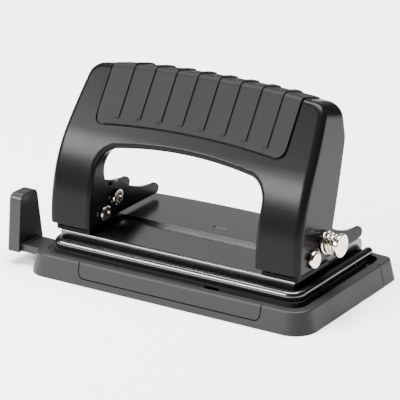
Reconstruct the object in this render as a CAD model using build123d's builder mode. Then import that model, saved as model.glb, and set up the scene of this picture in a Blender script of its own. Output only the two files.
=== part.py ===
from build123d import *
import math
import os

os.makedirs("parts", exist_ok=True)

# Two-hole desk punch.  X runs along the machine, +Y is the side where the paper goes in, +Z is up.
# The origin lies on the underside of the base, midway between the two punch axes.

# ---- driving dimensions, mm ----
HOLE_SPACING = 80.0          # standard distance between the two holes
STEEL = 1.2                  # thickness of every pressed steel sheet
HOLE_R = 3.05                # bore of the dies and guides
PUNCH_R = 2.97
STROKE = 3.7                 # travel of the punches
SWING = 28.0                 # swing of the handle, degrees

BASE_HALF = 54.2             # half length of the plastic base at the bottom
BASE_X = 1.8                 # the base sits a little towards the lock pin's side
BASE_FRONT = -25.5
BASE_REAR = 37.6             # at the corners, before the rear side bulges
BASE_BULGE = 2.6             # how far the rear side bulges
BASE_H = 7.5
BASE_DRAFT = 13.0            # lean of the side walls, degrees
BASE_CORNER = 8.0
SEAM_Y = 27.0                # joint between the base and its drawer

DECK_FRONT_Z = 13.3          # top of the sunken front of the deck
DECK_Z = 14.5                # top of the deck where the paper lies
DECK_HALF = 45.2
DECK_FRONT = -13.4
DECK_STEP_Y = 6.6
DECK_REAR = 31.0             # at the corners
BEAD_R = 1.6
BEAD_HALF = 46.4
BEAD_X = 1.2                 # middle of the rim
BEAD_FRONT = -16.6
BEAD_Z = 9.6                 # centre height of the rolled rim

HINGE_Y = -7.1
HINGE_Z = 19.5
PIN_Z = 23.15                # drive pins, straight above the dies
PIN_R = 2.0
PIN_FIT = 0.06               # running clearance on the radius

HANDLE_HALF = 48.1
FRONT_Y = -16.25             # front face of the handle near its foot
HANDLE_FOOT = 16.15
FACE_STRAIGHT_Z = 18.2       # the face is upright up to here
FACE_R = 53.2                # then it bends back on this radius
FACE_LEAN = 34.0             # to this lean, degrees
WINDOW_HALF = 31.9
WINDOW_TOP = 45.4

BRACKET_IN = 5.4             # half gap between the two plates of a punch head
LOCK_R = 2.7                 # collar of the lock pin

CENTRES = {"left": -HOLE_SPACING / 2, "right": HOLE_SPACING / 2}


def finish(piece, label):
    piece.part.label = label
    export_step(piece.part, f"parts/{label}.step")


def face_y(z):
    """Y of the handle's outer front face at height z."""
    bend_top = FACE_STRAIGHT_Z + FACE_R * math.sin(math.radians(FACE_LEAN))
    if z <= FACE_STRAIGHT_Z:
        return FRONT_Y
    if z <= bend_top:
        return FRONT_Y + FACE_R - math.sqrt(FACE_R**2 - (z - FACE_STRAIGHT_Z)**2)
    bend_y = FRONT_Y + FACE_R * (1 - math.cos(math.radians(FACE_LEAN)))
    return bend_y + (z - bend_top) * math.tan(math.radians(FACE_LEAN))


# ---- the base: moulded plastic, with a channel for the rim, a chip drawer and a paper guide ----
CHANNEL_OUT = 2.6            # width of the flat top margin of the base
RIB = 1.7                    # half width of the rib that carries the deck's rim
GUIDE_Y = (-19.2, -9.4)
GUIDE_Z = (4.5, 7.0)
CAVITY_HALF = 43.2
CAVITY_FRONT = -7.4


def footprint(half, front, rear, bulge, corner):
    """Rectangle with round front corners and a bulging rear side."""
    with BuildSketch() as outline:
        with BuildLine():
            Line((-half, rear - corner / 2), (-half, front + corner))
            RadiusArc((-half, front + corner), (-half + corner, front), -corner)
            Line((-half + corner, front), (half - corner, front))
            RadiusArc((half - corner, front), (half, front + corner), -corner)
            Line((half, front + corner), (half, rear - corner / 2))
            RadiusArc((half, rear - corner / 2), (half - corner / 2, rear), -corner / 2)
            ThreePointArc((half - corner / 2, rear), (0, rear + bulge), (-half + corner / 2, rear))
            RadiusArc((-half + corner / 2, rear), (-half, rear - corner / 2), -corner / 2)
        make_face()
    return outline.sketch


with BuildPart() as base_block:
    with BuildSketch(Plane.XY):
        add(footprint(BASE_HALF, BASE_FRONT, BASE_REAR, BASE_BULGE, BASE_CORNER))
    extrude(amount=BASE_H, taper=BASE_DRAFT)
    fillet(base_block.faces().sort_by(Axis.Z)[-1].edges(), 0.7)

PANEL_HALF = 34.7            # raised panel on the front wall
PANEL_X = 4.3
FOOT_R = 4.0
FOOT_SPOTS = [(-44, -16), (44, -16), (-46, 11), (46, 11)]
SCREW_SPOTS = [(BEAD_X + side * BEAD_HALF, y) for side in (-1, 1) for y in (0, 22)]
rim_top = BEAD_Z - BEAD_R

with BuildPart() as chip_tray:
    add(base_block.part.moved(Location((BASE_X, 0, 0))))
    split(bisect_by=Plane.XZ.offset(-SEAM_Y), keep=Keep.TOP)
    # sunken channel that the deck's rolled rim sits in
    with BuildSketch(Plane.XY.offset(4.0)):
        with Locations((BASE_X, 10)):
            RectangleRounded(2 * (BASE_HALF - 2.0 - CHANNEL_OUT), 2 * (10 - BASE_FRONT - 2.0 - CHANNEL_OUT), 5)
    extrude(amount=BASE_H, mode=Mode.SUBTRACT)
    # rib under the rim
    with BuildSketch(Plane.XY.offset(1.0)):
        with Locations((BEAD_X, 10)):
            RectangleRounded(2 * (BEAD_HALF + RIB), 2 * (10 - BEAD_FRONT + RIB), 4)
            RectangleRounded(2 * (BEAD_HALF - RIB), 2 * (10 - BEAD_FRONT - RIB), 2, mode=Mode.SUBTRACT)
        with Locations((0, SEAM_Y + 20)):
            Rectangle(200, 40, mode=Mode.SUBTRACT)
    extrude(amount=rim_top - 1.0)
    # room for the chip drawer, open to the rear
    with BuildSketch(Plane.XY.offset(1.4)):
        with Locations((0, (CAVITY_FRONT + 60) / 2)):
            Rectangle(2 * CAVITY_HALF, 60 - CAVITY_FRONT)
    extrude(amount=BASE_H, mode=Mode.SUBTRACT)
    # slot for the paper guide, through the rib, and a notch for it in the left wall
    with BuildSketch(Plane.XY.offset(GUIDE_Z[0] - 0.2)):
        with Locations((-21, (GUIDE_Y[0] + GUIDE_Y[1]) / 2)):
            Rectangle(82, GUIDE_Y[1] - GUIDE_Y[0] + 0.8)
    extrude(amount=GUIDE_Z[1] - GUIDE_Z[0] + 0.5, mode=Mode.SUBTRACT)
    with BuildSketch(Plane.XY.offset(GUIDE_Z[1])):
        with Locations((-55, (GUIDE_Y[0] + GUIDE_Y[1]) / 2)):
            Rectangle(14, GUIDE_Y[1] - GUIDE_Y[0] + 0.8)
    extrude(amount=BASE_H, mode=Mode.SUBTRACT)
    # shut line that frames the front panel
    with BuildSketch(Plane.XZ.offset(-BASE_FRONT - 2.2)):
        with Locations((PANEL_X, BASE_H + 1)):
            RectangleRounded(2 * PANEL_HALF + 0.8, 12.6, 2.4)
            RectangleRounded(2 * PANEL_HALF, 11.8, 2.0, mode=Mode.SUBTRACT)
    extrude(amount=6, mode=Mode.SUBTRACT)
    # pockets for the feet, and screw holes under the rim
    with BuildSketch(Plane.XY):
        with Locations(*FOOT_SPOTS):
            Circle(FOOT_R)
    extrude(amount=0.8, mode=Mode.SUBTRACT)
    with BuildSketch(Plane.XY):
        with Locations(*SCREW_SPOTS):
            Circle(1.75)
    extrude(amount=1.8, mode=Mode.SUBTRACT)
    with BuildSketch(Plane.XY):
        with Locations(*SCREW_SPOTS):
            Circle(1.1)
    extrude(amount=BASE_H + 2, mode=Mode.SUBTRACT)
finish(chip_tray, "chip_tray")

DRAWER_GAP = 0.3
with BuildPart() as chip_drawer:
    add(base_block.part.moved(Location((BASE_X, 0, 0))))
    split(bisect_by=Plane.XZ.offset(-SEAM_Y - DRAWER_GAP), keep=Keep.BOTTOM)
    # lift clear of the ground so that the drawer slides freely
    with BuildSketch(Plane.XY):
        Rectangle(200, 200)
    extrude(amount=DRAWER_GAP, mode=Mode.SUBTRACT)
    # hollow of the end piece, and the rim's channel carried on across it
    with BuildSketch(Plane.XY.offset(2.6)):
        with Locations((0, 20)):
            Rectangle(2 * (CAVITY_HALF - 2), 2 * 15.0)
    extrude(amount=BASE_H, mode=Mode.SUBTRACT)
    with BuildSketch(Plane.XY.offset(4.0)):
        with Locations((BASE_X, SEAM_Y)):
            RectangleRounded(2 * (BASE_HALF - 2.0 - CHANNEL_OUT), 13.0, 4)
    extrude(amount=BASE_H, mode=Mode.SUBTRACT)
    # the tray itself, reaching forward under both dies
    with BuildSketch(Plane.XY.offset(1.4 + DRAWER_GAP)):
        with Locations((0, (CAVITY_FRONT + SEAM_Y + 3) / 2)):
            Rectangle(2 * (CAVITY_HALF - DRAWER_GAP), SEAM_Y + 3 - CAVITY_FRONT - DRAWER_GAP)
    extrude(amount=5.4)
    with BuildSketch(Plane.XY.offset(2.6)):
        with Locations((0, (CAVITY_FRONT + 35.0) / 2 + 0.8)):
            Rectangle(2 * (CAVITY_HALF - 1.5), 35.0 - CAVITY_FRONT - 1.6)
    extrude(amount=BASE_H, mode=Mode.SUBTRACT)
finish(chip_drawer, "chip_drawer")

with BuildPart() as rubber_feet:
    with BuildSketch(Plane.XY):
        with Locations(*FOOT_SPOTS):
            Circle(FOOT_R - 0.05)
    extrude(amount=0.8)
finish(rubber_feet, "rubber_feet")

# ---- deck: one steel pressing, a stepped platform inside a rolled rim ----
DIE_R = 4.0


def platform(grow, drop):
    """Stepped platform, drawn in by grow and lowered by drop for the inside of the sheet."""
    half = DECK_HALF - grow
    with BuildPart() as block:
        with BuildSketch(Plane.XY.offset(BEAD_Z - STEEL - grow)):
            with BuildLine():
                Line((-half, DECK_REAR), (-half, DECK_FRONT + grow))
                Line((-half, DECK_FRONT + grow), (half, DECK_FRONT + grow))
                Line((half, DECK_FRONT + grow), (half, DECK_REAR))
                ThreePointArc((half, DECK_REAR), (0, DECK_REAR + 2.8 - grow), (-half, DECK_REAR))
            make_face()
        extrude(amount=DECK_Z - drop - BEAD_Z + STEEL + grow)
        with BuildSketch(Plane.XY.offset(DECK_FRONT_Z - drop)):
            with Locations((0, DECK_STEP_Y - 40 + drop)):
                Rectangle(120, 80)
        extrude(amount=5, mode=Mode.SUBTRACT)
    return block.part


with BuildPart() as deck_outer:
    add(platform(0.0, 0.0))
    fillet(deck_outer.faces().filter_by(Axis.Z).sort_by(Axis.Z)[-1].edges().sort_by(Axis.Y)[-1], 2.2)
    fillet(deck_outer.edges().filter_by(Axis.X).group_by(Axis.Z)[-2].sort_by(Axis.Y)[0], 0.9)
with BuildPart() as deck_plate:
    add(deck_outer.part)
    # flat skirt out to the rolled rim
    with BuildSketch(Plane.XY.offset(BEAD_Z - STEEL)):
        with Locations((BEAD_X, (BEAD_FRONT + DECK_REAR + 1) / 2)):
            Rectangle(2 * BEAD_HALF, DECK_REAR + 1 - BEAD_FRONT)
        with Locations((0, 60 + DECK_REAR - 1.0)):
            Rectangle(2 * DECK_HALF, 120, mode=Mode.SUBTRACT)
    extrude(amount=STEEL)
    # rolled rim along the front and both sides, open at the rear
    with BuildLine() as rim_path:
        FilletPolyline(
            (BEAD_X - BEAD_HALF, DECK_REAR, BEAD_Z),
            (BEAD_X - BEAD_HALF, BEAD_FRONT, BEAD_Z),
            (BEAD_X + BEAD_HALF, BEAD_FRONT, BEAD_Z),
            (BEAD_X + BEAD_HALF, DECK_REAR, BEAD_Z),
            radius=3.6,
        )
    with BuildSketch(Plane(origin=(BEAD_X - BEAD_HALF, DECK_REAR, BEAD_Z), z_dir=(0, -1, 0))):
        Circle(BEAD_R)
    sweep(path=rim_path.wires()[0])
    for side in (-1, 1):
        end = (BEAD_X + side * BEAD_HALF, DECK_REAR, BEAD_Z)
        with BuildSketch(Plane(origin=end, x_dir=(1, 0, 0), z_dir=(0, 0, 1))):
            Circle(BEAD_R)
            with Locations((0, -BEAD_R)):
                Rectangle(2 * BEAD_R, 2 * BEAD_R, mode=Mode.SUBTRACT)
        revolve(axis=Axis(end, (1, 0, 0)), revolution_arc=180)
    add(platform(STEEL, STEEL), mode=Mode.SUBTRACT)
    # holes for the dies, the bracket rivets and the screws of the base
    with BuildSketch(Plane.XY.offset(DECK_FRONT_Z - 3)):
        with Locations((CENTRES["left"], 0), (CENTRES["right"], 0)):
            Circle(DIE_R)
    extrude(amount=4, mode=Mode.SUBTRACT)
    with BuildSketch(Plane.XY.offset(DECK_FRONT_Z - 3)):
        with Locations(*[(CENTRES[s] + dx, -8.5) for s in CENTRES for dx in (-2.6, 2.6)]):
            Circle(1.1)
    extrude(amount=4, mode=Mode.SUBTRACT)
    with BuildSketch(Plane.XY.offset(BEAD_Z - BEAD_R)):
        with Locations(*SCREW_SPOTS):
            Circle(0.9)
    extrude(amount=1.8, mode=Mode.SUBTRACT)
    # centre mark: a shallow triangle that points at the fold of the sheet
    with BuildSketch(Plane.XY.offset(DECK_Z - 0.3)):
        with BuildLine():
            Polyline((BEAD_X - 2.8, 13.3), (BEAD_X + 2.8, 13.3), (BEAD_X, 8.0), close=True)
        make_face()
    extrude(amount=1, mode=Mode.SUBTRACT)
finish(deck_plate, "deck_plate")

# ---- punch heads: a folded steel bracket, a guide plate, a hardened die and a punch ----
THROAT = 1.4                 # gap that the paper goes into
plate_bottom = DECK_Z + THROAT


def plate_outline():
    """Side plate of a punch head: a neck at the front, a saddle, and a round tip over the paper."""
    with BuildSketch() as outline:
        with BuildLine():
            neck = HINGE_Y - 6.6
            low = (neck, DECK_FRONT_Z)
            shoulder = (neck, HINGE_Z - 1.7)
            crown = (HINGE_Y - 1.5, HINGE_Z + 7.04)
            Polyline(shoulder, low, (-11.4, DECK_FRONT_Z), (-11.4, plate_bottom),
                     (27.0, plate_bottom))
            ThreePointArc((27.0, plate_bottom), (28.5, 17.4), (27.6, 19.0))
            ThreePointArc((27.6, 19.0), (26.8, 19.7), (25.6, 19.8))
            ThreePointArc((25.6, 19.8), (14.8, 22.0), (6.0, 26.2))
            ThreePointArc((6.0, 26.2), (3.6, 27.6), (0.6, 27.9))
            Line((0.6, 27.9), crown)
            ThreePointArc(crown, (HINGE_Y - 5.4, HINGE_Z + 4.76), shoulder)
        make_face()
    return outline.sketch


def punch_bracket(centre, locked):
    with BuildPart() as bracket:
        for inner in (BRACKET_IN, -BRACKET_IN - STEEL):
            with BuildSketch(Plane.YZ.offset(centre + inner)):
                add(plate_outline())
            extrude(amount=STEEL)
        with BuildSketch(Plane.XY.offset(DECK_FRONT_Z)):
            with Locations((centre, (HINGE_Y - 6.6 + DECK_STEP_Y - 0.2) / 2)):
                Rectangle(2 * (BRACKET_IN + STEEL), DECK_STEP_Y - 0.2 - HINGE_Y + 6.6)
        extrude(amount=STEEL)
        with BuildSketch(Plane.XY.offset(DECK_FRONT_Z - 1)):
            with Locations((centre, 0)):
                Circle(HOLE_R)
            with Locations((centre - 2.6, -8.5), (centre + 2.6, -8.5)):
                Circle(1.1)
        extrude(amount=3, mode=Mode.SUBTRACT)
        # hinge bore and the upright slot of the drive pin, through both plates
        with BuildSketch(Plane.YZ.offset(centre - 10)):
            with Locations((HINGE_Y, HINGE_Z)):
                Circle(PIN_R)
            with Locations((0, PIN_Z - STROKE / 2)):
                SlotOverall(STROKE + 2 * PIN_R + 0.3, 2 * PIN_R + 0.2, rotation=90)
        extrude(amount=20, mode=Mode.SUBTRACT)
        if locked:
            # wider rounds at both ends of the outer slot take the collar of the lock pin
            with BuildSketch(Plane.YZ.offset(centre + BRACKET_IN - 0.5)):
                with Locations((0, PIN_Z), (0, PIN_Z - STROKE)):
                    Circle(LOCK_R + 0.12)
            extrude(amount=3, mode=Mode.SUBTRACT)
    return bracket


GUIDE_T = 0.7

for side, centre in CENTRES.items():
    bracket = punch_bracket(centre, side == "right")
    finish(bracket, f"punch_bracket_{side}")

    with BuildPart() as punch_guide:
        with BuildSketch(Plane.XY.offset(plate_bottom)):
            with Locations((centre, 1.65)):
                Rectangle(2 * BRACKET_IN, 11.7)
            with Locations((centre, 0)):
                Circle(HOLE_R, mode=Mode.SUBTRACT)
        extrude(amount=GUIDE_T)
    finish(punch_guide, f"punch_guide_{side}")

    with BuildPart() as die_bush:
        with BuildSketch(Plane.XY.offset(DECK_FRONT_Z - 3.6)):
            with Locations((centre, 0)):
                Circle(DIE_R)
                Circle(HOLE_R, mode=Mode.SUBTRACT)
        extrude(amount=3.6)
    finish(die_bush, f"die_bush_{side}")

    with BuildPart() as punch:
        tip_z = plate_bottom + 0.35
        with BuildSketch(Plane.XY.offset(tip_z)):
            with Locations((centre, 0)):
                Circle(PUNCH_R)
        extrude(amount=PIN_Z + 3.4 - tip_z)
        # the cutting end is hollowed across, so that it shears from two sides
        with BuildSketch(Plane.YZ.offset(centre - 5)):
            with Locations((0, tip_z - 4.2)):
                Circle(5.0)
        extrude(amount=10, mode=Mode.SUBTRACT)
        with BuildSketch(Plane.YZ.offset(centre - 5)):
            with Locations((0, PIN_Z)):
                Circle(PIN_R + (PIN_FIT if side == "right" else 0))
        extrude(amount=10, mode=Mode.SUBTRACT)
        chamfer(punch.faces().sort_by(Axis.Z)[-1].edges(), 0.4)
    finish(punch, f"punch_{side}")

with BuildPart() as bracket_rivets:
    with BuildSketch(Plane.XY.offset(DECK_FRONT_Z - STEEL)):
        with Locations(*[(c + dx, -8.5) for c in CENTRES.values() for dx in (-2.6, 2.6)]):
            Circle(1.1)
    extrude(amount=2 * STEEL)
    with BuildSketch(Plane.XY.offset(DECK_Z)):
        with Locations(*[(c + dx, -8.5) for c in CENTRES.values() for dx in (-2.6, 2.6)]):
            Circle(1.9)
    extrude(amount=0.6)
    fillet(bracket_rivets.faces().filter_by(Axis.Z).group_by(Axis.Z)[-1].edges(), 0.4)
finish(bracket_rivets, "bracket_rivets")

with BuildPart() as base_screws:
    with BuildSketch(Plane.XY.offset(0.5)):
        with Locations(*SCREW_SPOTS):
            Circle(1.7)
    extrude(amount=1.2)
    with BuildSketch(Plane.XY.offset(1.7)):
        with Locations(*SCREW_SPOTS):
            Circle(0.9)
    extrude(amount=BEAD_Z - BEAD_R + 1.6 - 1.7)
finish(base_screws, "base_screws")

# ---- handle: one steel pressing with deep side flanges and a wide hand opening ----
TOP_LEAN = 14.0              # fall of the top surface towards the rear, degrees
CREST_Y = 6.0                # where the height of the top is measured
CREST_Z = 68.9
HANDLE_REAR = 17.8
REAR_LIP_Z = 57.0            # lower edge of the turned-down rear lip
FLANK_R = 240.0              # curve that narrows the handle towards its top
FLANK_Z = 27.0
ARCH_DROP = 2.1              # how much lower the top is at the ends of the handle
SHOULDER_R = 6.0
EDGE_R = 2.4                 # rounding of the outer edges
WINDOW_ARCH_R = 170.0
WINDOW_CORNER = 7.5
WINDOW_ROLL = 1.5            # rolled edge of the opening
DRIVE_SLOT = 4.5             # radius of the flange around the drive pin


def handle_section(inset):
    """Side view of the handle; with an inset it is the open space inside the sheet."""
    lean = math.radians(FACE_LEAN)
    radius = FACE_R - inset
    centre_y = FRONT_Y + FACE_R
    bend = (centre_y - radius * math.cos(lean), FACE_STRAIGHT_Z + radius * math.sin(lean))
    middle = (centre_y - radius * math.cos(lean / 2), FACE_STRAIGHT_Z + radius * math.sin(lean / 2))
    high = CREST_Z + 8
    start = (FRONT_Y + inset, FACE_STRAIGHT_Z)
    top_front = (bend[0] + (high - bend[1]) * math.tan(lean), high)
    with BuildSketch() as outline:
        with BuildLine():
            ThreePointArc(start, middle, bend)
            if inset:
                Polyline(bend, top_front, (HANDLE_REAR - inset, high), (HANDLE_REAR - inset, REAR_LIP_Z),
                         (60, REAR_LIP_Z), (60, 0), (start[0], 0), start)
            else:
                Polyline(bend, top_front, (HANDLE_REAR, high), (HANDLE_REAR, REAR_LIP_Z))
                ThreePointArc((HANDLE_REAR, REAR_LIP_Z), (11.2, 42.5), (5.7, 26.5))
                ThreePointArc((5.7, 26.5), (6.0, 21.8), (3.4, 18.6))
                ThreePointArc((3.4, 18.6), (-0.8, 16.7), (-5.0, HANDLE_FOOT))
                Polyline((-5.0, HANDLE_FOOT), (FRONT_Y, HANDLE_FOOT), start)
        make_face()
    return outline.sketch


def handle_front(inset):
    """Front view of the handle: upright sides that close in, and an arched top."""
    half = HANDLE_HALF - inset
    end_z = CREST_Z - ARCH_DROP - inset
    mid_z = (FLANK_Z + end_z) / 2
    low = FLANK_Z - 60
    with BuildSketch() as outline:
        with BuildLine():
            for side in (-1, 1):
                Line((side * half, low), (side * half, FLANK_Z))
                mid_x = half - FLANK_R + math.sqrt(FLANK_R**2 - (mid_z - FLANK_Z)**2)
                end_x = half - FLANK_R + math.sqrt(FLANK_R**2 - (end_z - FLANK_Z)**2)
                ThreePointArc((side * half, FLANK_Z), (side * mid_x, mid_z), (side * end_x, end_z))
            ThreePointArc((-end_x, end_z), (0, CREST_Z - inset), (end_x, end_z))
            Line((-half, low), (half, low))
        make_face()
        fillet(outline.vertices().group_by(Axis.Y)[-1], SHOULDER_R - inset)
    return outline.sketch


def handle_solid(inset):
    """Body of the handle, its front view carried back along the slope of the top."""
    slope = math.radians(TOP_LEAN)
    with BuildPart() as skin:
        with BuildSketch(Plane.YZ.offset(-70)):
            add(handle_section(inset))
        extrude(amount=140)
        with BuildSketch(Plane.XZ.offset(-CREST_Y)):
            add(handle_front(inset))
        extrude(amount=70, dir=(0, math.cos(slope), -math.sin(slope)), both=True, mode=Mode.INTERSECT)
        rim = [
            edge for edge in skin.edges()
            if abs(edge.center().Y - face_y(edge.center().Z) - inset / math.cos(math.radians(FACE_LEAN))) < 0.6
            and edge.bounding_box().size.Z > 0.5 and edge.center().Z > HANDLE_FOOT + 0.5
        ]
        fillet(rim, EDGE_R - inset)
        back = [
            edge for edge in skin.edges()
            if abs(edge.center().Y - HANDLE_REAR + inset) < 0.05 and edge.bounding_box().size.X > 50
            and edge.center().Z > REAR_LIP_Z + 2
        ]
        fillet(back, EDGE_R - inset)
    return skin.part


def window_outline(grow):
    """Hand opening, seen from the front: a doorway with a flat arch."""
    half = WINDOW_HALF + grow
    with BuildSketch() as outline:
        with BuildLine():
            side_z = WINDOW_TOP - half**2 / (2 * WINDOW_ARCH_R) + grow
            ThreePointArc((-half, side_z), (0, WINDOW_TOP + grow), (half, side_z))
            Polyline((half, side_z), (half, 0), (-half, 0), (-half, side_z))
        make_face()
        fillet(outline.vertices().group_by(Axis.Y)[-1], WINDOW_CORNER + grow)
    return outline.sketch


def lip_section():
    """Side view of the flanges that frame the hand opening; they widen to hold both pins."""
    with BuildSketch() as outline:
        with BuildLine():
            Polyline((-5.0, HANDLE_FOOT), (-22, HANDLE_FOOT), (-22, 53), (2.0, 53), (-4.2, 42), (-6.6, 35.5))
            ThreePointArc((-6.6, 35.5), (-6.4, 31.5), (-3.2, PIN_Z + 4.7))
            ThreePointArc((-3.2, PIN_Z + 4.7), (4.3, PIN_Z + 1.8), (2.6, PIN_Z - 4.0))
            ThreePointArc((2.6, PIN_Z - 4.0), (-1.2, 17.0), (-5.0, HANDLE_FOOT))
        make_face()
    return outline.sketch


with BuildPart() as handle:
    add(handle_solid(0.0))
    add(handle_solid(STEEL), mode=Mode.SUBTRACT)
with BuildPart() as window_frame:
    with BuildSketch(Plane.XZ.offset(-40)):
        add(window_outline(STEEL))
        add(window_outline(0.0), mode=Mode.SUBTRACT)
    extrude(amount=80)
    with BuildSketch(Plane.YZ.offset(-70)):
        add(lip_section())
    extrude(amount=140, mode=Mode.INTERSECT)
    add(handle_solid(0.0), mode=Mode.INTERSECT)
with BuildPart() as handle_done:
    add(handle.part)
    with BuildSketch(Plane.XZ.offset(40)):
        add(window_outline(0.0))
    extrude(amount=-60, mode=Mode.SUBTRACT)
    add(window_frame.part)
    roll = [
        edge for edge in handle_done.edges()
        if abs(edge.center().X) < WINDOW_HALF + 0.1 and abs(edge.center().Y - face_y(edge.center().Z)) < 0.6
        and HANDLE_FOOT + 1 < edge.center().Z < WINDOW_TOP + 0.5
    ]
    fillet(roll, WINDOW_ROLL)
    swing = math.degrees(math.atan2(PIN_Z - HINGE_Z, -HINGE_Y))
    near = -HINGE_Y - 0.05
    far = math.hypot(HINGE_Y, PIN_Z - HINGE_Z) + 0.05
    for low_x, width in ((-50, 25), (25, 25)):
        slot_r = (LOCK_R if low_x > 0 else PIN_R) + 0.15
        with BuildSketch(Plane.YZ.offset(low_x)):
            with Locations((HINGE_Y, HINGE_Z)):
                Circle(PIN_R + PIN_FIT)
            with Locations(Location((HINGE_Y, HINGE_Z, 0), (0, 0, swing))):
                with Locations(((near + far) / 2, 0)):
                    SlotOverall(far - near + 2 * slot_r, 2 * slot_r)
        extrude(amount=width, mode=Mode.SUBTRACT)

# ---- grip: a ribbed rubber cover over the top of the handle ----
GRIP = 0.4                   # thickness of the cover
RIB_HIGH = 0.5
GRIP_HALF = 36.0
GRIP_EDGE_Z = 50.2           # lower corners; the edge between them is arched
GRIP_ARCH = 2.0
RIB_PITCH = 8.12
GROOVE = 0.7
GROOVE_DEEP = 0.5


def grip_outline(half, low, arch):
    with BuildSketch() as outline:
        with BuildLine():
            ThreePointArc((-half, low), (0, low + arch), (half, low))
            Polyline((half, low), (half, 90), (-half, 90), (-half, low))
        make_face()
        fillet(outline.vertices().group_by(Axis.Y)[0], 3.0)
    return outline.sketch


# a shallow groove in the steel frames the cover
with BuildPart() as groove:
    with BuildSketch(Plane.XZ.offset(-12)):
        add(grip_outline(GRIP_HALF + GROOVE, GRIP_EDGE_Z - GROOVE, GRIP_ARCH))
        add(grip_outline(GRIP_HALF, GRIP_EDGE_Z, GRIP_ARCH), mode=Mode.SUBTRACT)
    extrude(amount=60)
    add(handle_solid(GROOVE_DEEP), mode=Mode.SUBTRACT)
with BuildPart() as handle_grooved:
    add(handle_done.part)
    add(groove.part, mode=Mode.SUBTRACT)
finish(handle_grooved, "handle")

with BuildPart() as grip_skin:
    add(handle_solid(-GRIP))
    with BuildSketch(Plane.XZ.offset(-60)):
        add(grip_outline(GRIP_HALF, GRIP_EDGE_Z, GRIP_ARCH))
    extrude(amount=120, mode=Mode.INTERSECT)
with BuildPart() as grip_ribs:
    add(handle_solid(-GRIP - RIB_HIGH))
    with BuildSketch(Plane.XZ.offset(-60)):
        with Locations(*[((n - 3.5) * RIB_PITCH, 70) for n in range(8)]):
            Rectangle(2.0, 60)
        add(grip_outline(GRIP_HALF, GRIP_EDGE_Z + 2.1, GRIP_ARCH), mode=Mode.INTERSECT)
    extrude(amount=120, mode=Mode.INTERSECT)
with BuildPart() as grip_cover:
    add(grip_skin.part)
    add(grip_ribs.part)
    add(handle_solid(0.0), mode=Mode.SUBTRACT)
    with BuildSketch(Plane.YZ.offset(-70)):
        with Locations((34, REAR_LIP_Z + 1.5 - 50)):
            Rectangle(60, 100)
    extrude(amount=140, mode=Mode.SUBTRACT)
finish(grip_cover, "grip_cover")

# ---- pins: each passes through the handle's outer flange, the bracket and the inner flange ----
INNER_FACE = WINDOW_HALF - 0.3       # where the inner ends begin, clear of the inner flange
OUTER_FACE = HANDLE_HALF + 0.3


def flanged_pin(sign, y, z):
    """Shaft with a low round head outside and a rolled eyelet inside."""
    with BuildPart() as pin:
        with BuildSketch(Plane.YZ.offset(sign * (INNER_FACE - 0.9))):
            with Locations((y, z)):
                Circle(PIN_R)
        extrude(amount=sign * (OUTER_FACE - INNER_FACE + 1.2))
        with BuildSketch(Plane.YZ.offset(sign * OUTER_FACE)):
            with Locations((y, z)):
                Circle(3.1)
        extrude(amount=sign * 1.5)
        fillet(pin.faces().sort_by(Axis.X)[-1 if sign > 0 else 0].edges(), 1.0)
        with BuildSketch(Plane.YZ.offset(sign * (INNER_FACE - 0.9))):
            with Locations((y, z)):
                Circle(2.75)
        extrude(amount=sign * 0.9)
        fillet(pin.faces().sort_by(Axis.X)[0 if sign > 0 else -1].edges(), 0.4)
        with BuildSketch(Plane.YZ.offset(sign * (INNER_FACE - 1.0))):
            with Locations((y, z)):
                Circle(1.5)
        extrude(amount=sign * 0.5, mode=Mode.SUBTRACT)
    return pin


finish(flanged_pin(-1, HINGE_Y, HINGE_Z), "hinge_pin_left")
finish(flanged_pin(1, HINGE_Y, HINGE_Z), "hinge_pin_right")
finish(flanged_pin(-1, 0, PIN_Z), "drive_pin_left")

# ---- lock pin: its collar drops into the bracket and holds the handle down ----
LOCK_SLIDE = 2.2
COLLAR_START = 46.75
COLLAR_END = 51.0
LOCK_HEAD = (53.6, 55.0)
LOCK_HEAD_R = 3.9
LOCK_TIP = 30.2

with BuildPart() as lock_pin:
    with BuildSketch(Plane.YZ.offset(LOCK_TIP)):
        with Locations((0, PIN_Z)):
            Circle(PIN_R)
    extrude(amount=LOCK_HEAD[0] - LOCK_TIP)
    with BuildSketch(Plane.YZ.offset(COLLAR_START)):
        with Locations((0, PIN_Z)):
            Circle(LOCK_R)
    extrude(amount=COLLAR_END - COLLAR_START)
    with BuildSketch(Plane.YZ.offset(LOCK_HEAD[0])):
        with Locations((0, PIN_Z)):
            Circle(LOCK_HEAD_R)
    extrude(amount=LOCK_HEAD[1] - LOCK_HEAD[0])
    fillet(lock_pin.faces().sort_by(Axis.X)[-1].edges(), 0.5)
    # groove for the retaining clip
    with BuildSketch(Plane.YZ.offset(30.95)):
        with Locations((0, PIN_Z)):
            Circle(PIN_R + 1)
            Circle(1.5, mode=Mode.SUBTRACT)
    extrude(amount=0.6, mode=Mode.SUBTRACT)
finish(lock_pin, "lock_pin")

with BuildPart() as lock_clip:
    with BuildSketch(Plane.YZ.offset(31.0)):
        with Locations((0, PIN_Z)):
            Circle(3.0)
            Circle(1.5, mode=Mode.SUBTRACT)
        with Locations((0, PIN_Z - 2)):
            Rectangle(2.0, 4.0, mode=Mode.SUBTRACT)
    extrude(amount=0.5)
finish(lock_clip, "lock_clip")

# ---- springs ----
LOCK_WIRE = 0.45
LOCK_TURNS = 4
LOCK_COIL = (48.75, 53.1)    # from the flange to the head
LOCK_COIL_R = (3.65, 2.75)
RETURN_WIRE = 0.5
RETURN_R = 3.0
RETURN_PITCH = 1.25
RETURN_TURNS = 6

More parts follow.
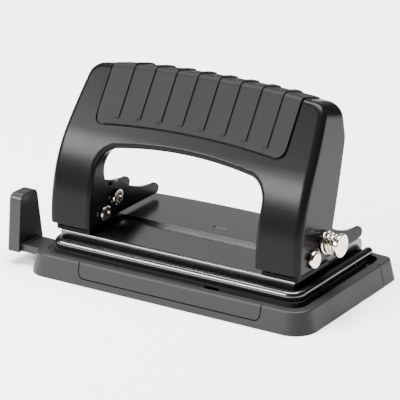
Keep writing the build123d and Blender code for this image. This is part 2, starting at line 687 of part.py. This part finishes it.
with BuildPart() as cone_coil:
    length = LOCK_COIL[1] - LOCK_COIL[0]
    taper = math.degrees(math.atan((LOCK_COIL_R[1] - LOCK_COIL_R[0]) / length))
    with BuildLine() as cone_path:
        Helix(length / LOCK_TURNS, length, LOCK_COIL_R[0], cone_angle=taper)
    cone_start = cone_path.edges()[0]
    with BuildSketch(Plane(origin=cone_start @ 0, z_dir=cone_start % 0)):
        Circle(LOCK_WIRE)
    sweep(path=cone_path.wires()[0], is_frenet=True)
with BuildPart() as lock_spring:
    seat = Plane(origin=(LOCK_COIL[0], 0, PIN_Z), x_dir=(0, 1, 0), z_dir=(1, 0, 0))
    add(cone_coil.part.moved(seat.location))
finish(lock_spring, "lock_spring")

# a torsion coil round each hinge pin: one leg on the bracket, one on the handle's front
WEB_LEG = (-12.0, DECK_FRONT_Z + STEEL + 0.55)
FACE_LEG = (-13.3, 27.0)


def leg(target, turn):
    """Length of a tangent leg to the target, and the angle round the coil where it leaves."""
    dy = target[0] - HINGE_Y
    dz = target[1] - HINGE_Z
    reach = math.hypot(dy, dz)
    angle = math.degrees(math.atan2(dz, dy)) + turn * math.degrees(math.acos(RETURN_R / reach))
    return math.sqrt(reach**2 - RETURN_R**2), angle


web_length, web_angle = leg(WEB_LEG, 1)
face_length, face_angle = leg(FACE_LEG, -1)
wound = (face_angle - web_angle) % 360 + 360 * RETURN_TURNS
coil_length = RETURN_PITCH * wound / 360
with BuildPart() as torsion_coil:
    with BuildLine() as coil_path:
        Helix(RETURN_PITCH, coil_length, RETURN_R)
    coil = coil_path.edges()[0]
    with BuildSketch(Plane(origin=coil @ 0, z_dir=coil % 0)):
        Circle(RETURN_WIRE)
    sweep(path=coil_path.wires()[0], is_frenet=True)
    leave = math.radians(wound)
    for point, heading, length in (
        ((RETURN_R, 0, 0), (0, -1, 0), web_length),
        (
            (RETURN_R * math.cos(leave), RETURN_R * math.sin(leave), coil_length),
            (-math.sin(leave), math.cos(leave), 0),
            face_length,
        ),
    ):
        # each leg starts inside the end of the coil
        inside = tuple(p - 0.3 * h for p, h in zip(point, heading))
        with BuildSketch(Plane(origin=inside, z_dir=heading)):
            Circle(RETURN_WIRE - 0.05)
        extrude(amount=length + 0.3)

for side, centre in CENTRES.items():
    start = math.radians(web_angle)
    with BuildPart() as return_spring:
        seat = Plane(
            origin=(centre - coil_length / 2, HINGE_Y, HINGE_Z),
            x_dir=(0, math.cos(start), math.sin(start)),
            z_dir=(1, 0, 0),
        )
        add(torsion_coil.part.moved(seat.location))
    finish(return_spring, f"return_spring_{side}")

# ---- paper guide: a flat plastic arm with an upright stop at its end ----
STOP_X = (-62.6, -57.6)
ARM_END = 15.0

with BuildPart() as paper_guide:
    with BuildSketch(Plane.XY.offset(GUIDE_Z[0])):
        with Locations(((STOP_X[0] + 1 + ARM_END) / 2, (GUIDE_Y[0] + GUIDE_Y[1]) / 2)):
            Rectangle(ARM_END - STOP_X[0] - 1, GUIDE_Y[1] - GUIDE_Y[0])
    extrude(amount=GUIDE_Z[1] - GUIDE_Z[0])
    with BuildSketch(Plane.YZ.offset(STOP_X[0])):
        with BuildLine():
            Polyline((-20.7, 4.4), (-18.9, 24.3), (-9.6, 24.3), (-6.5, 4.4), close=True)
        make_face()
    extrude(amount=STOP_X[1] - STOP_X[0])
    tall = paper_guide.edges().filter_by(Axis.X).group_by(Axis.Z)[-1]
    fillet(tall, 2.6)
    # ridge across the arm next to the stop
    with BuildSketch(Plane.XY.offset(GUIDE_Z[1])):
        with Locations((-56.4, (GUIDE_Y[0] + GUIDE_Y[1]) / 2)):
            Rectangle(0.8, GUIDE_Y[1] - GUIDE_Y[0] - 1)
    extrude(amount=0.3)
    outside = paper_guide.faces().filter_by(Axis.X).sort_by(Axis.X)[0]
    fillet(outside.edges().sort_by(Axis.Z)[1:], 1.1)
finish(paper_guide, "paper_guide")
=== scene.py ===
# %% [markdown]
# # A two-hole desk punch
# The engineering model gives every piece its shape and place. This lesson dresses that model:
# paint, plastic, rubber and plated steel, a camera, and soft studio light.

import math

import bmesh
import bpy
from mathutils import Matrix, Vector


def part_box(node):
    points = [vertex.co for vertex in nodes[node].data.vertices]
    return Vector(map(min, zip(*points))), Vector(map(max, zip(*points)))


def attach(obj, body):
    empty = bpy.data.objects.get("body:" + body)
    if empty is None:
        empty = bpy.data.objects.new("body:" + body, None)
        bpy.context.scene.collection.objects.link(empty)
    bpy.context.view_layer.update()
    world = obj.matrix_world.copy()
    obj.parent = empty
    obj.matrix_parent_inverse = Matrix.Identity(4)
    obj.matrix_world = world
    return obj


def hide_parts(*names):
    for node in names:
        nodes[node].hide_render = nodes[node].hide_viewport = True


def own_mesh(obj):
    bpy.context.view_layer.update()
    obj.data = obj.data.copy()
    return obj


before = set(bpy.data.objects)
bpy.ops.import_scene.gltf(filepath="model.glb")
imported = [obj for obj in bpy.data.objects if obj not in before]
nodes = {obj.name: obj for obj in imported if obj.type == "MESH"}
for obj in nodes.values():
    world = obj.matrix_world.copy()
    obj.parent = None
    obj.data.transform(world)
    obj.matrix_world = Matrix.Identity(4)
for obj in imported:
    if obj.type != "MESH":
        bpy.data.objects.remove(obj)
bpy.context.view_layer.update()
print("nodes:", len(nodes))

# %% [markdown]
# ## Camera
# The camera comes first, because it decides which details matter. It stands far back with a
# long lens, so the parallel edges of the base stay nearly parallel, as in a sales catalogue.

# %% Camera
AZIMUTH = math.radians(32.28)
ELEVATION = math.radians(20.0)
TARGET = Vector((0.00587, -0.00709, 0.03137))
DISTANCE = 0.8107

back = Vector((
    math.sin(AZIMUTH) * math.cos(ELEVATION),
    -math.cos(AZIMUTH) * math.cos(ELEVATION),
    math.sin(ELEVATION),
))
camera_data = bpy.data.cameras.new("camera")
camera_data.sensor_width = 36.0
camera_data.lens = 225.0
camera_data.clip_start = 0.01
camera = bpy.data.objects.new("camera", camera_data)
bpy.context.scene.collection.objects.link(camera)
camera.location = TARGET + back * DISTANCE
camera.rotation_mode = "QUATERNION"
camera.rotation_quaternion = (-back).to_track_quat("-Z", "Y")
bpy.context.scene.camera = camera
print("camera at", [round(v, 4) for v in camera.location])


# %% [markdown]
# ## Shared surface effects
# Real surfaces are never one even value. Two small node groups make that unevenness: one varies
# the gloss slowly and every material uses it, the other is a fine grain for paint and mouldings.
# Both read object coordinates, so the pattern stays on a piece when it moves.

# %% Effect groups
def new_group(name, inputs, outputs):
    group = bpy.data.node_groups.new(name, "ShaderNodeTree")
    for label, value in inputs:
        socket = group.interface.new_socket(name=label, in_out="INPUT", socket_type="NodeSocketFloat")
        socket.default_value = value
    for label in outputs:
        group.interface.new_socket(name=label, in_out="OUTPUT", socket_type="NodeSocketFloat")
    return group, group.nodes.new("NodeGroupInput"), group.nodes.new("NodeGroupOutput")


def noise_on_object(tree, detail):
    place = tree.nodes.new("ShaderNodeTexCoord")
    noise = tree.nodes.new("ShaderNodeTexNoise")
    noise.inputs["Detail"].default_value = detail
    tree.links.new(place.outputs["Object"], noise.inputs["Vector"])
    return noise


def math_node(tree, operation, first, second):
    node = tree.nodes.new("ShaderNodeMath")
    node.operation = operation
    for socket, value in zip(node.inputs, (first, second)):
        if isinstance(value, (int, float)):
            socket.default_value = value
        else:
            tree.links.new(value, socket)
    return node.outputs[0]


uneven, group_in, group_out = new_group(
    "uneven_gloss", (("Scale", 60.0), ("Middle", 0.3), ("Spread", 0.1)), ("Roughness",))
noise = noise_on_object(uneven, 4.0)
uneven.links.new(group_in.outputs["Scale"], noise.inputs["Scale"])
centred = math_node(uneven, "SUBTRACT", noise.outputs[0], 0.5)
spread = math_node(uneven, "MULTIPLY", centred, group_in.outputs["Spread"])
total = math_node(uneven, "ADD", spread, group_in.outputs["Middle"])
uneven.links.new(total, group_out.inputs["Roughness"])

grain, group_in, group_out = new_group("fine_grain", (("Scale", 1500.0), ("Height", 1.0)), ("Height",))
noise = noise_on_object(grain, 2.0)
grain.links.new(group_in.outputs["Scale"], noise.inputs["Scale"])
high = math_node(grain, "MULTIPLY", noise.outputs[0], group_in.outputs["Height"])
grain.links.new(high, group_out.inputs["Height"])
print("groups:", [g.name for g in bpy.data.node_groups])


# %% [markdown]
# ## Materials
# The handle is pressed steel under semi-gloss black paint. The punch heads wear a duller,
# slightly darker coat of it: real black paint, with painted shade added for the shade they sit in
# under the handle. The deck has a smoother enamel so that paper slides easily. The base is moulded
# in a mould with a spark-eroded texture, and the grip is matte rubber. The pins are nickel plated,
# which looks slightly warm. Black needs a very low colour value: what shows is its reflections.

# %% Material recipe
def surface(name, colour, gloss, spread, metal=0.0, shine=0.5, grain_scale=1500.0, grain_depth=0.0):
    material = bpy.data.materials.new(name)
    material.use_nodes = True
    tree = material.node_tree
    shader = tree.nodes["Principled BSDF"]
    shader.inputs["Base Color"].default_value = (*colour, 1.0)
    shader.inputs["Metallic"].default_value = metal
    shader.inputs["Specular IOR Level"].default_value = shine
    rough = tree.nodes.new("ShaderNodeGroup")
    rough.node_tree = uneven
    rough.inputs["Middle"].default_value = gloss
    rough.inputs["Spread"].default_value = spread
    tree.links.new(rough.outputs["Roughness"], shader.inputs["Roughness"])
    if grain_depth:
        relief = tree.nodes.new("ShaderNodeGroup")
        relief.node_tree = grain
        relief.inputs["Scale"].default_value = grain_scale
        bump = tree.nodes.new("ShaderNodeBump")
        bump.inputs["Strength"].default_value = 0.5
        bump.inputs["Distance"].default_value = grain_depth
        tree.links.new(relief.outputs["Height"], bump.inputs["Height"])
        tree.links.new(bump.outputs["Normal"], shader.inputs["Normal"])
    return material


paint = surface(
    "black_paint", (0.004, 0.004, 0.0042), 0.25, 0.06, shine=0.08, grain_scale=700, grain_depth=0.00002)
# Painted shade: the bracket paint is darker and reflects less than the handle's, standing in for the shade
# under the handle.
shaded_bracket_paint = surface("shaded_bracket_paint", (0.003, 0.003, 0.0032), 0.30, 0.06, shine=0.05)
enamel = surface("gloss_enamel", (0.004, 0.004, 0.0042), 0.22, 0.05, shine=0.9)
plastic = surface(
    "textured_plastic", (0.010, 0.010, 0.0102), 0.50, 0.10, shine=0.25, grain_scale=2200, grain_depth=0.00008)
satin = surface(
    "satin_plastic", (0.007, 0.007, 0.0072), 0.42, 0.10, shine=0.30, grain_scale=2000, grain_depth=0.00003)
rubber = surface(
    "matte_rubber", (0.005, 0.005, 0.005), 0.55, 0.10, shine=0.13, grain_scale=2600, grain_depth=0.00005)
nickel = surface("nickel_plate", (0.72, 0.66, 0.58), 0.20, 0.10, metal=1.0)
steel = surface("plain_steel", (0.52, 0.52, 0.52), 0.34, 0.12, metal=1.0)

dress = {
    paint: ("handle",),
    shaded_bracket_paint: ("punch_bracket_left", "punch_bracket_right"),
    enamel: ("deck_plate",),
    plastic: ("chip_tray", "chip_drawer"),
    satin: ("paper_guide",),
    rubber: ("grip_cover", "rubber_feet"),
    nickel: ("hinge_pin_left", "hinge_pin_right", "drive_pin_left", "lock_pin", "lock_spring"),
    steel: (
        "punch_left", "punch_right", "punch_guide_left", "punch_guide_right", "die_bush_left",
        "die_bush_right", "bracket_rivets", "base_screws", "lock_clip", "return_spring_left",
        "return_spring_right",
    ),
}
for material, names in dress.items():
    for name in names:
        data = nodes[name].data
        data.materials.clear()
        data.materials.append(material)
print("dressed:", sum(len(names) for names in dress.values()))

# %% [markdown]
# ## Lock spring
# A conical wire coil pushes the lock pin back out. It is wound by turning a small circle round the
# pin while it moves outward. It flattens as the pin goes in; here a wound mesh coil stands in for
# the rigid coil of the engineering model.

# %% Lock spring
low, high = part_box("lock_pin")
PIN_HEIGHT = (low[2] + high[2]) / 2
SPRING_START = 0.0487        # just outside the handle's side
HEAD_AND_GAP = 0.0020        # the pin's head, and a little air before it
SPRING_END = high[0] - HEAD_AND_GAP
WIRE = 0.00036
WIDE, NARROW = 0.00365, 0.0028
TURNS, STEPS_PER_TURN = 3.0, 32

spring_bm = bmesh.new()
profile = bmesh.ops.create_circle(
    spring_bm, cap_ends=True, segments=12, radius=WIRE,
    matrix=Matrix.Translation((SPRING_START, WIDE, PIN_HEIGHT)))
steps = int(TURNS * STEPS_PER_TURN)
length = SPRING_END - SPRING_START
wound = bmesh.ops.spin(
    spring_bm, geom=spring_bm.verts[:] + spring_bm.edges[:], cent=(0.0, 0.0, PIN_HEIGHT),
    axis=(1.0, 0.0, 0.0), dvec=(length / steps, 0.0, 0.0), angle=math.tau * TURNS, steps=steps)
end_edges = [part for part in wound["geom_last"] if isinstance(part, bmesh.types.BMEdge)]
bmesh.ops.contextual_create(spring_bm, geom=end_edges)
for vert in spring_bm.verts:
    radial = Vector((0.0, vert.co.y, vert.co.z - PIN_HEIGHT))
    along = (vert.co.x - SPRING_START) / length
    vert.co -= radial.normalized() * (WIDE - NARROW) * along
bmesh.ops.recalc_face_normals(spring_bm, faces=spring_bm.faces[:])
for face in spring_bm.faces:
    face.smooth = len(face.verts) == 4
spring_mesh = bpy.data.meshes.new("lock_coil")
spring_bm.to_mesh(spring_mesh)
spring_bm.free()
spring_mesh.materials.append(nickel)
lock_coil = bpy.data.objects.new("lock_coil", spring_mesh)
bpy.context.scene.collection.objects.link(lock_coil)
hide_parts("lock_spring")
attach(lock_coil, "punch_right")
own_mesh(lock_coil)
print("lock coil:", len(spring_mesh.polygons), "faces")

# %% [markdown]
# ## Floor and light
# A pale flat floor and large soft lamps: black objects are drawn by what they reflect, so the size
# and place of each lamp shapes the bright bands along the handle and the rolled rim.

# %% Stage
floor_mesh = bpy.data.meshes.new("floor")
floor_bm = bmesh.new()
bmesh.ops.create_grid(floor_bm, x_segments=1, y_segments=1, size=3.0)
floor_bm.to_mesh(floor_mesh)
floor_bm.free()
floor = bpy.data.objects.new("floor", floor_mesh)
bpy.context.scene.collection.objects.link(floor)
floor_material = bpy.data.materials.new("pale_floor")
floor_material.use_nodes = True
floor_shader = floor_material.node_tree.nodes["Principled BSDF"]
floor_shader.inputs["Base Color"].default_value = (0.92, 0.92, 0.92, 1.0)
floor_shader.inputs["Roughness"].default_value = 0.9
floor_mesh.materials.append(floor_material)

world = bpy.data.worlds.new("studio")
bpy.context.scene.world = world
world.use_nodes = True
world.node_tree.nodes["Background"].inputs["Color"].default_value = (1.0, 1.0, 1.0, 1.0)
world.node_tree.nodes["Background"].inputs["Strength"].default_value = 0.03


def lamp(name, azimuth, elevation, distance, width, height, power):
    a = math.radians(azimuth)
    e = math.radians(elevation)
    away = Vector((math.sin(a) * math.cos(e), -math.cos(a) * math.cos(e), math.sin(e)))
    data = bpy.data.lights.new(name, "AREA")
    data.shape = "RECTANGLE"
    data.size = width
    data.size_y = height
    data.energy = power
    obj = bpy.data.objects.new(name, data)
    bpy.context.scene.collection.objects.link(obj)
    obj.location = Vector((0.0, 0.0, 0.03)) + away * distance
    obj.rotation_mode = "QUATERNION"
    obj.rotation_quaternion = (-away).to_track_quat("-Z", "Y")
    return obj


lamps = [
    lamp("top_lamp", 200.0, 82.0, 1.3, 1.2, 0.9, 95.0),
    lamp("face_lamp", -35.0, 28.5, 1.1, 0.8, 0.26, 34.0),
    lamp("deck_card", 212.0, 21.0, 1.3, 1.1, 0.4, 1.1),
]
print("lamps:", [obj.name for obj in lamps])

# %% [markdown]
# ## Finish

# %% Finish
print("finished")
